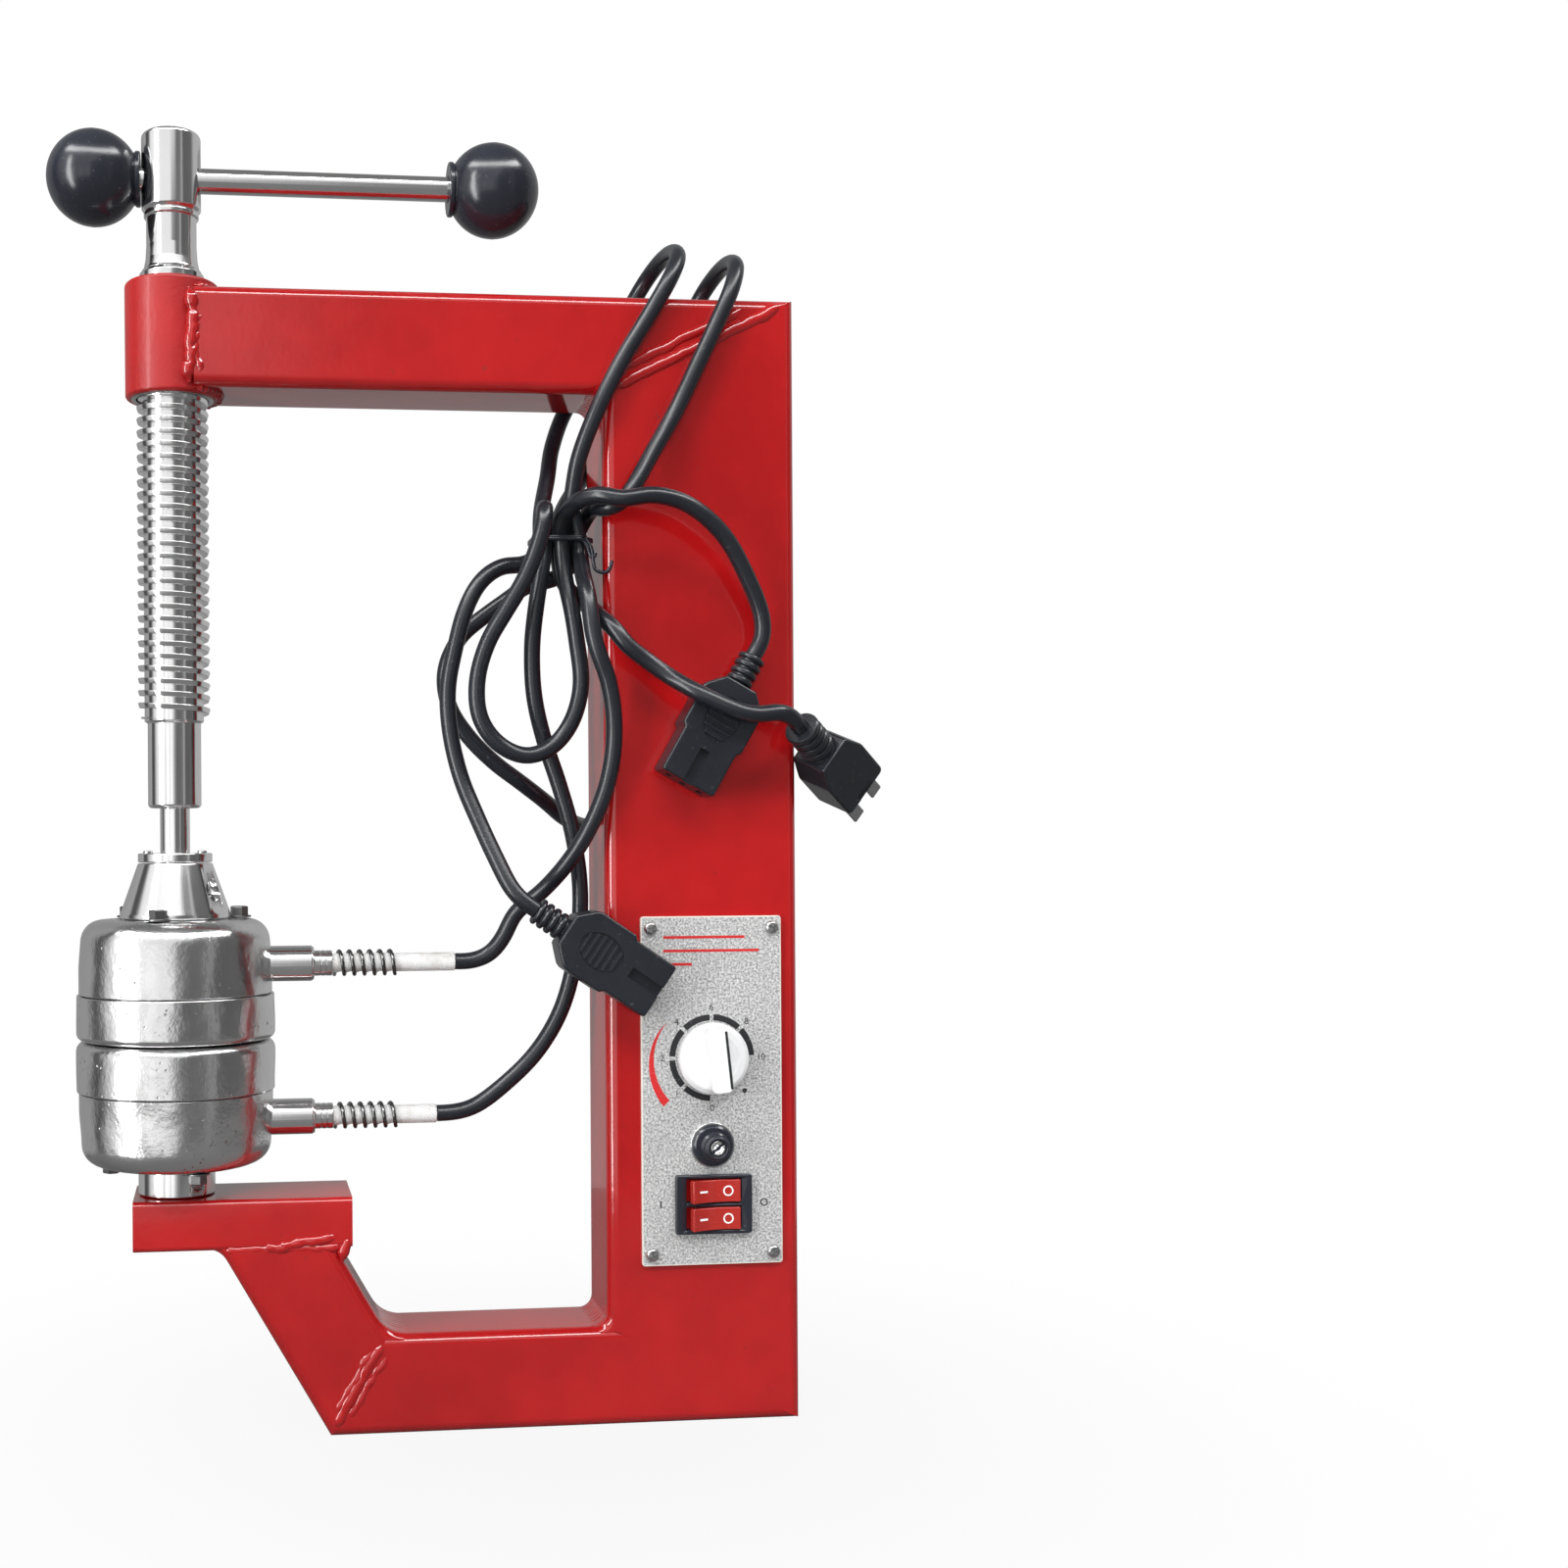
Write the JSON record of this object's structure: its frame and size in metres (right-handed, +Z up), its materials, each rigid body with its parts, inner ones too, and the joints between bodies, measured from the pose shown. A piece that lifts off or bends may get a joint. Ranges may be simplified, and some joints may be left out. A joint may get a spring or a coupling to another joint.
{
  "type": "tire vulcanizer",
  "caption": "Upright C-frame tyre vulcanizer: a hand screw presses two electrically heated round heads together; timer, fuse and switch panel, bundled cords.",
  "frame": {"origin": "centre of the lower arm's flat bottom face, which stands on the bench", "axes": "+Z up along the press screw, +X from the screw to the column, the control panel faces -Y"},
  "size_m": [0.3481, 0.1104, 0.5265],
  "materials": {
    "red_enamel": "glossy red enamel over welded steel",
    "chrome": "bright plated turned steel",
    "polished_aluminium": "spun and cast aluminium, polished with small dents",
    "steel": "plated steel",
    "mica": "mica heater disc",
    "insulation_fibre": "pressed ceramic fibre",
    "white_sleeve": "woven glass sleeve, white",
    "silver_plate": "speckled silver grey plate with plain printed marks",
    "timer_case": "brown moulded timer case",
    "black_plastic": "glossy black moulding",
    "black_rubber": "black cord rubber with a soft sheen",
    "knob_plastic": "pale grey moulding",
    "rocker_red": "red translucent moulding",
    "fuse_glass": "clear glass tube"
  },
  "bodies": {
    "frame": {"column_tube": "red_enamel", "upper_arm_tube": "red_enamel", "lower_arm_tube": "red_enamel", "slant_leg_tube": "red_enamel", "anvil_block": "red_enamel", "nut_boss": "red_enamel", "lower_post": "chrome", "lower_cable_gland": "chrome", "lower_cover": "polished_aluminium", "lower_heating_plate": "polished_aluminium", "lower_cover_bolt_1": "steel", "lower_cover_bolt_2": "steel", "lower_cover_bolt_3": "steel", "panel_screw_1": "steel", "panel_screw_2": "steel", "panel_screw_3": "steel", "panel_screw_4": "steel", "lower_relief_spring": "steel", "mains_plug_pin_1": "steel", "mains_plug_pin_2": "steel", "lower_heater_element": "mica", "lower_insulation_disc": "insulation_fibre", "lower_relief_sleeve": "white_sleeve", "panel_plate": "silver_plate", "timer_body": "timer_case", "fuse_holder": "black_plastic", "switch_housing": "black_plastic", "upper_heater_inlet": "black_plastic", "lower_heater_inlet": "black_plastic", "mains_gland": "black_plastic", "cable_tie": "black_plastic", "upper_heater_cord": "black_rubber", "lower_heater_cord": "black_rubber", "mains_cord": "black_rubber", "upper_heater_connector": "black_rubber", "lower_heater_connector": "black_rubber", "mains_plug": "black_rubber"},
    "pressure_head": {"pressure_foot": "chrome", "foot_keeper_ring": "chrome", "foot_set_screw": "steel", "upper_cover": "polished_aluminium", "upper_heating_plate": "polished_aluminium", "upper_heater_element": "mica", "upper_insulation_disc": "insulation_fibre", "upper_cover_bolt_1": "steel", "upper_cover_bolt_2": "steel", "upper_cover_bolt_3": "steel", "upper_cable_gland": "chrome", "upper_relief_sleeve": "white_sleeve", "upper_relief_spring": "steel"},
    "screw": {"screw_spindle": "chrome"},
    "tommy_bar": {"tommy_bar": "chrome", "ball_knob_left": "black_plastic", "ball_knob_right": "black_plastic"},
    "timer_knob": {"timer_knob": "knob_plastic"},
    "rocker_upper": {"rocker_upper": "rocker_red"},
    "rocker_lower": {"rocker_lower": "rocker_red"},
    "fuse": {"fuse_tube": "fuse_glass"},
    "fuse_cap": {"fuse_cap": "black_plastic"}
  },
  "joints": [
    {"name": "head_travel", "type": "slide", "parent": "frame", "child": "pressure_head", "axis": [0, 0, 1], "range_m": [0, 0.12]},
    {"name": "screw_turn", "type": "hinge", "parent": "pressure_head", "child": "screw", "pos_m": [-0.1575, 0, 0.3], "axis": [0, 0, 1], "range_deg": [0, 8641]},
    {"name": "bar_slide", "type": "slide", "parent": "screw", "child": "tommy_bar", "axis": [1, 0, 0], "range_m": [-0.101, 0]},
    {"name": "timer_turn", "type": "hinge", "parent": "frame", "child": "timer_knob", "pos_m": [0.0594, -0.0218, 0.1493], "axis": [0, 1, 0], "range_deg": [-45, 270]},
    {"name": "rocker_upper_press", "type": "hinge", "parent": "frame", "child": "rocker_upper", "pos_m": [0.0594, -0.0241, 0.0955], "axis": [0, 0, -1], "range_deg": [0, 20]},
    {"name": "rocker_lower_press", "type": "hinge", "parent": "frame", "child": "rocker_lower", "pos_m": [0.0594, -0.0241, 0.0843], "axis": [0, 0, -1], "range_deg": [0, 20]},
    {"name": "fuse_pull", "type": "slide", "parent": "frame", "child": "fuse", "axis": [0, -1, 0], "range_m": [0, 0.03]},
    {"name": "fuse_cap_turn", "type": "hinge", "parent": "fuse", "child": "fuse_cap", "pos_m": [0.0594, -0.0283, 0.1137], "axis": [0, 1, 0], "range_deg": [-90, 0]}
  ],
  "couplings": [
    {"joint": "screw_turn", "follows": "head_travel", "rad_per_m": 1256.6}
  ]
}
